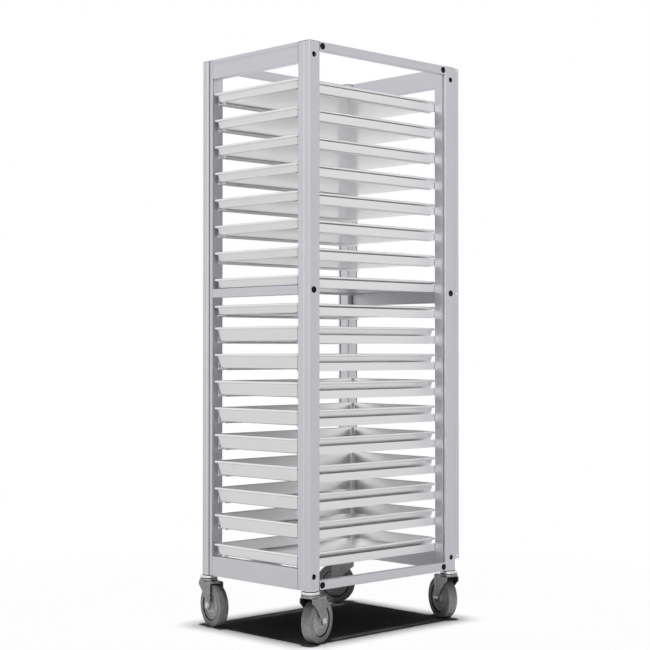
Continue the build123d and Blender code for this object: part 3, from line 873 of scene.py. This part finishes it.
def strip_ring(front, back, spot, normal):
    """The strip's section at one station, with eased edges and its rear half pressed outward."""
    step_out = fork_step * abs(normal[0])
    ease = min(fork_ease, (back - front) / 4)
    half = fork_sheet / 2
    proud = half + step_out
    start = min(max(step_start, front + 1.5 * ease), back - 2.5 * ease)
    outer = [(front, half - ease), (front + ease, half), (start, half)]
    stepped = min(start + step_slope, back - 1.5 * ease)
    outer += [(stepped, proud), (back - ease, proud), (back, proud - ease)]
    inner = [(back, -half + ease), (back - ease, -half), (front + ease, -half), (front, -half + ease)]
    (y, z), (out, up) = spot, normal
    return [Vector((x, y + out * far, z + up * far)) * mm for x, far in outer + inner]


print("fork stations", len(arch_stations()))

# %% Four forks with their crowns
crown_radius = 29.0
bore = stem_radius + 0.05
bridge_top = crown_foot + fork_sheet
crown_profile = [
    (bore, bridge_top - 0.5), (bore, crown_top), (crown_radius - 2.4, crown_top),
    (crown_radius - 1.1, crown_top - 0.3), (crown_radius - 0.3, crown_top - 1.0),
    (crown_radius, crown_top - 2.0), (crown_radius, bridge_top + 2.1), (crown_radius + 0.5, bridge_top + 0.9),
    (crown_radius + 1.6, bridge_top), (crown_radius + 1.6, bridge_top - 0.5),
]
for corner, place in caster_places.items():
    mesh = bmesh.new()
    rings = [strip_ring(*leg_edges(spot[1]), spot, normal) for spot, normal in arch_stations()]
    skin(mesh, [[place @ point for point in ring] for ring in rings])
    spin(mesh, crown_profile, place, 64, loop=True)
    node = f"caster_fork_{corner}"
    piece(f"{node}_pressed", mesh, fork_finish, f"caster_{corner}", "fork_steel", node, crease=40)
print("forks", len(caster_places))

# %% [markdown]
# ## Axles
# A hexagon bolt and a nut close the fork over a sleeve on which the wheel turns. The hexagon's chamfer is
# what makes it read as a bolt: its corners drop away where the flats stay high. A cone with six sides has no
# chamfer, so the head is built from rings, and the upper ones shrink from a hexagon toward a circle.

# %% Hexagons and turned stubs
axle_flats = 17.0
axle_seat = fork_half_gap + fork_sheet + fork_step
washer_top = axle_seat + 1.4
head_top, nut_top, collar_top, tip_top = (axle_seat + rise for rise in (5.0, 5.6, 7.0, 10.0))
sleeve_end = fork_half_gap - 0.05
washer_radius, collar_radius, tip_radius, sleeve_radius = 10.8, 7.4, 5.6, 9.0
corner_reach, chamfer_cut = 1.16, 0.24


def hexagon(mesh, place, base, top):
    """A chamfered hexagon between two heights in millimetres."""
    rings = []
    for height, chamfer in ((base, 0), (top - 1.5, 0), (top - 0.7, 0.6), (top, 1.0)):
        limit = axle_flats / 2 * (corner_reach - chamfer_cut * chamfer)
        ring = []
        for index in range(36):
            angle = 2 * pi * index / 36
            off_flat = abs((angle + pi / 6) % (pi / 3) - pi / 6)
            radius = min(axle_flats / 2 / cos(off_flat), limit)
            ring.append(place @ (Vector((radius * cos(angle), radius * sin(angle), height)) * mm))
        rings.append(ring)
    skin(mesh, rings)


def stub(radius, base, top, ease):
    """Profile of a short turned bar with one eased end."""
    return [(0, base), (radius, base), (radius, top - ease), (radius - ease, top), (0, top)]


print("axle tip", round(tip_top, 2), "mm from the wheel's middle")

# %% Axle bolts, nuts and sleeves
for corner, place in caster_places.items():
    mesh = bmesh.new()
    head_side = place @ wheel_place
    nut_side = head_side @ Matrix.Rotation(pi, 4, "X")
    for seat in (head_side, nut_side):
        spin(mesh, stub(washer_radius, axle_seat, washer_top, 0.3), seat, 40)
    hexagon(mesh, head_side, washer_top, head_top)
    hexagon(mesh, nut_side, washer_top, nut_top)
    spin(mesh, stub(collar_radius, nut_top - 0.2, collar_top, 0.6), nut_side, 40)
    spin(mesh, stub(tip_radius, collar_top - 0.2, tip_top, 1.0), nut_side, 32)
    spin(mesh, stub(sleeve_radius, -sleeve_end, sleeve_end, 0.2), head_side, 40)
    node = f"caster_axle_{corner}"
    piece(f"{node}_bolt", mesh, bolt_finish, f"caster_{corner}", "bright_steel", node, crease=30)
print("axles", len(caster_places))

# %% [markdown]
# ## Wheels
# The hub is a moulding with a boss, a dished web with a raised ring, and a rim; the tyre is a ring of grey
# rubber with a crisp shoulder and a fine bead on each sidewall. Both are turned about the axle, and the
# profile is written for one half and mirrored, so the two sides can't drift apart. The bands of faces in the
# seam between hub and tyre get the near-black second finish, a painted shade.

# %% Hubs and tyres
def both_sides(half):
    """A closed profile from its half above the middle plane, given from the inside out."""
    return half + [(radius, -height) for radius, height in reversed(half)]


hub_half = [
    (9.05, 20.7), (15.6, 20.7), (16.6, 20.2), (17.0, 19.2), (17.3, 13.4), (18.6, 11.7),
    (21.0, 11.0), (26.6, 10.7), (27.4, 10.9), (28.2, 12.1), (29.2, 12.6), (31.0, 12.6),
    (32.0, 12.1), (32.8, 10.9), (33.6, 10.6), (38.0, 10.6), (39.2, 10.9), (40.0, 11.8),
    (40.4, 13.3), (41.1, 14.0), (45.0, 14.0), (45.9, 13.4), (46.4, 11.6), (47.0, 11.4),
]
tyre_half = [
    (47.05, 11.4), (47.6, 11.7), (47.9, 15.2), (48.6, 16.5), (49.4, 17.3), (50.25, 17.6),
    (51.1, 17.3), (51.8, 16.5), (52.6, 16.0), (60.0, 16.0), (67.0, 15.95), (67.9, 15.7),
    (68.5, 15.1), (68.7, 14.2), (68.8, 12.8), (68.95, 6.0), (69.0, 0.6),
]
# Faces whose radius lies in the seam between hub and tyre get a painted shade.
seam = (44.9, 48.7)
for corner, place in caster_places.items():
    for kind, half, finish, slot in (
        ("wheel_hub", hub_half, hub_finish, "hub_plastic"),
        ("wheel_tyre", tyre_half, tyre_finish, "tyre_rubber"),
    ):
        node = f"{kind}_{corner}"
        profile = both_sides(half)
        bands = enumerate(zip(profile, profile[1:] + profile[:1]))
        painted_shade_seam_bands = [index for index, band in bands if all(seam[0] < radius < seam[1] for radius, _ in band)]
        mesh = bmesh.new()
        spin(mesh, profile, place @ wheel_place, 96, loop=True, dark=painted_shade_seam_bands)
        dress = {"crease": 50, "second_finish": painted_seam_shade_finish}
        piece(f"{node}_turned", mesh, finish, f"wheel_{corner}", slot, node, **dress)
print("wheels", len(caster_places))

# %% [markdown]
# ## Pieces that stay as the frame has them
# Screws, frame bolts, anchors, sockets and bearing balls are small or hidden, and their CAD shapes are
# already true. They keep those meshes and only get the steel and moulded finishes.

# %% Finishes for the carried-over pieces
carried_over = {
    "frame_bolts": bolt_finish, "runner_screws": bolt_finish, "rear_angle_screws": bolt_finish,
    "side_rail_anchors": bolt_finish, "caster_sockets": cap_finish, "swivel_balls": cup_finish,
}
for node, finish in carried_over.items():
    data = frame["nodes"][node].data
    data.materials.clear()
    data.materials.append(finish)
print("carried over", sorted(carried_over))

# %% [markdown]
# ## Studio floor
# A white floor takes the shadow, and for the camera it fades out into a white surrounding, so that no
# horizon shows. Metal mirrors the floor a little darker than it is. Light that goes from the floor to the
# metal and back counts as none, which keeps the shadow dark. Light Path nodes tell these rays apart.

# %% Floor sheet
def stage_sheet(name, mesh):
    """A studio object from a bmesh; it isn't part of the trolley."""
    data = bpy.data.meshes.new(name)
    mesh.to_mesh(data)
    mesh.free()
    thing = bpy.data.objects.new(name, data)
    bpy.context.scene.collection.objects.link(thing)
    return thing


floor_radius = 6.0
mesh = bmesh.new()
bmesh.ops.create_circle(mesh, cap_ends=True, segments=96, radius=floor_radius)
floor = stage_sheet("studio_floor", mesh)
print("floor radius", floor_radius, "m")

# %% Floor that fades out
def ray(nodes, what):
    """What a Light Path node tells about a ray: its kind, or how often it has bounced."""
    return nodes.add("ShaderNodeLightPath", output=what)


def eased(nodes, value, start, end):
    """0 at the start, 1 at the end and a smooth change between them."""
    span = {"Value": value, "From Min": start, "From Max": end}
    return nodes.add("ShaderNodeMapRange", {"interpolation_type": "SMOOTHSTEP"}, span)


floor_fade = (1.1, 1.9)
floor_in_metal = 0.74
white = (0.97, 0.97, 0.97, 1)
floor_finish = Finish("studio_floor_white", Base_Color=white, Roughness=0.9, Specular_IOR_Level=0.0)
away = floor_finish.add("ShaderNodeVectorMath", {"operation": "LENGTH"}, {0: floor_finish.place}, "Value")
faded = eased(floor_finish, away, *floor_fade)
not_scattered = ray(floor_finish, "Diffuse Depth") < 0.5
dimming = ray(floor_finish, "Is Glossy Ray") * (1 - floor_in_metal * not_scattered)
lit = Out(floor_finish, floor_finish.shader.outputs[0])
black = floor_finish.add("ShaderNodeBsdfDiffuse", {}, {"Color": (0, 0, 0, 1)})
clear = floor_finish.add("ShaderNodeBsdfTransparent")
dimmed = floor_finish.add("ShaderNodeMixShader", {}, {0: dimming, 1: lit, 2: black})
gone = faded * ray(floor_finish, "Is Camera Ray")
mixed = floor_finish.add("ShaderNodeMixShader", {}, {0: gone, 1: dimmed, 2: clear})
floor_finish.feed(floor_finish.tree.nodes["Material Output"].inputs["Surface"], mixed)
floor.data.materials.append(floor_finish.material)
print("floor fades out between", *floor_fade, "m from the middle")

# %% [markdown]
# ## White surrounding
# The camera sees plain white around the trolley. Metal that mirrored the same white on every side would
# lose its form, so glossy rays get a calmer studio whose strength depends on their direction. It falls a
# little from the front left to the rear right. A broad softbox stands behind the camera, a faint glow lies
# behind the trolley, and low at the front left there is a dimmer band. Area lamps could do this too, but
# they would also light the floor and soften the shadow.

# %% What the metal sees
world = bpy.data.worlds.new("white_studio")
bpy.context.scene.world = world
world.use_nodes = True
sky = Nodes(world.node_tree)
way = sky.add("ShaderNodeTexCoord", output="Generated")


def toward(direction):
    """1 for a ray that goes along a direction, 0 across it and -1 against it."""
    return sky.add("ShaderNodeVectorMath", {"operation": "DOT_PRODUCT"}, {0: way, 1: direction}, "Value")


front_gloss, side_gloss = 0.92, 0.82
box_gloss, box_reach = 0.65, (0.80, 0.97)
glow_gloss, glow_reach = 0.12, (-0.75, -0.95)
band_drop, band_sink, band_turn = 0.32, (-0.06, -0.20), (-0.20, -0.90)
to_rear_right = toward((0.7071, 0.7071, 0))
to_camera = toward((0.717, -0.691, -0.09))
softbox = eased(sky, to_camera, *box_reach)
glow = eased(sky, to_camera, *glow_reach)
gloss = (front_gloss + side_gloss) / 2 - (front_gloss - side_gloss) / 2 * to_rear_right
gloss = gloss + box_gloss * softbox + glow_gloss * glow
in_band = eased(sky, toward((0, 0, 1)), *band_sink) * eased(sky, to_rear_right, *band_turn)
gloss = gloss * (1 - band_drop * in_band)
print("metal sees", front_gloss, "at the front left and", side_gloss, "at the rear right")

# %% [markdown]
# The strength then goes by the kind of ray. The camera gets 1, which is white, metal gets the studio above,
# and scattered light gets hardly anything, so that the shadow stays dark. Between trays light is mirrored
# many times and fades at each bounce, so rays that were mirrored twice are lifted a little.

# %% Strength for each kind of ray
ambient = 0.02
inner_lift = 0.30
gloss = gloss * (1 + inner_lift * (ray(sky, "Glossy Depth") > 1.5))
seen_directly = ray(sky, "Is Camera Ray") + ray(sky, "Is Transmission Ray")
seen_in_metal = ray(sky, "Is Glossy Ray") * (ray(sky, "Diffuse Depth") < 0.5)
strength = ambient + (1 - ambient) * seen_directly + (gloss - ambient) * seen_in_metal
background = world.node_tree.nodes["Background"]
background.inputs["Color"].default_value = (1, 1, 1, 1)
sky.feed(background.inputs["Strength"], strength)
print("ambient strength", ambient, "and", len(sky.tree.nodes), "nodes in the surrounding")

# %% [markdown]
# ## Lamp and flag
# One lamp high overhead, with a slightly soft edge, makes the dark pool under the trolley. The rack is
# open, so light would fall through its gaps. A photographer hangs a flag there: a flat sheet that only casts
# shadow. This one is hidden from every other kind of ray, and it lies just below the caps, so that the lamp
# still lights them. Two of its corners are drawn out, because the pool reaches further there.

# %% Flag over the rack
flag_height = 1.82
flag_half = (0.24, 0.315)
drawn_out = 1.12
flag_corners = ((-drawn_out, -drawn_out), (1, -1), (drawn_out, drawn_out), (-1, 1))
mesh = bmesh.new()
corners = [(x * flag_half[0], y * flag_half[1], flag_height) for x, y in flag_corners]
mesh.faces.new([mesh.verts.new(corner) for corner in corners])
flag = stage_sheet("studio_flag", mesh)
for kind in ("camera", "diffuse", "glossy", "transmission"):
    setattr(flag, f"visible_{kind}", False)
print("flag", flag_height, "m above the floor")

# %% Overhead lamp
lamp_height = 30.0
lamp_radius = 1.05
lit_floor = 1.0
lamp_data = bpy.data.lights.new("overhead_lamp", "POINT")
# A white floor under a point lamp shows its watts over 4 pi squared times the height squared.
lamp_data.energy = lit_floor * 4 * pi ** 2 * lamp_height ** 2
lamp_data.shadow_soft_size = lamp_radius
lamp = bpy.data.objects.new("overhead_lamp", lamp_data)
lamp.location = (0, 0, lamp_height)
lamp.visible_glossy = False
bpy.context.scene.collection.objects.link(lamp)
print("lamp", round(lamp_data.energy), "W")

# %% [markdown]
# ## Camera
# The camera stands where the picture was taken: a little below the middle of the trolley, off its front
# right corner, with an 83 mm lens on a 36 mm sensor. The Standard view keeps white as white.

# %% Camera
camera_data = bpy.data.cameras.new("view")
camera_data.sensor_width = 36.0
camera_data.lens = 82.91
camera = bpy.data.objects.new("view", camera_data)
camera.location = (3.5609, -3.4637, 0.8967)
camera.rotation_euler = (radians(90.98), 0, radians(45.98))
bpy.context.scene.collection.objects.link(camera)
bpy.context.scene.camera = camera
bpy.context.scene.view_settings.view_transform = "Standard"
print("camera at", tuple(round(value, 3) for value in camera.location))

# %% [markdown]
# Looks must not change the trolley's size. Last, the view layer is brought up to date.

# %% Bring the view layer up to date
bpy.context.view_layer.update()
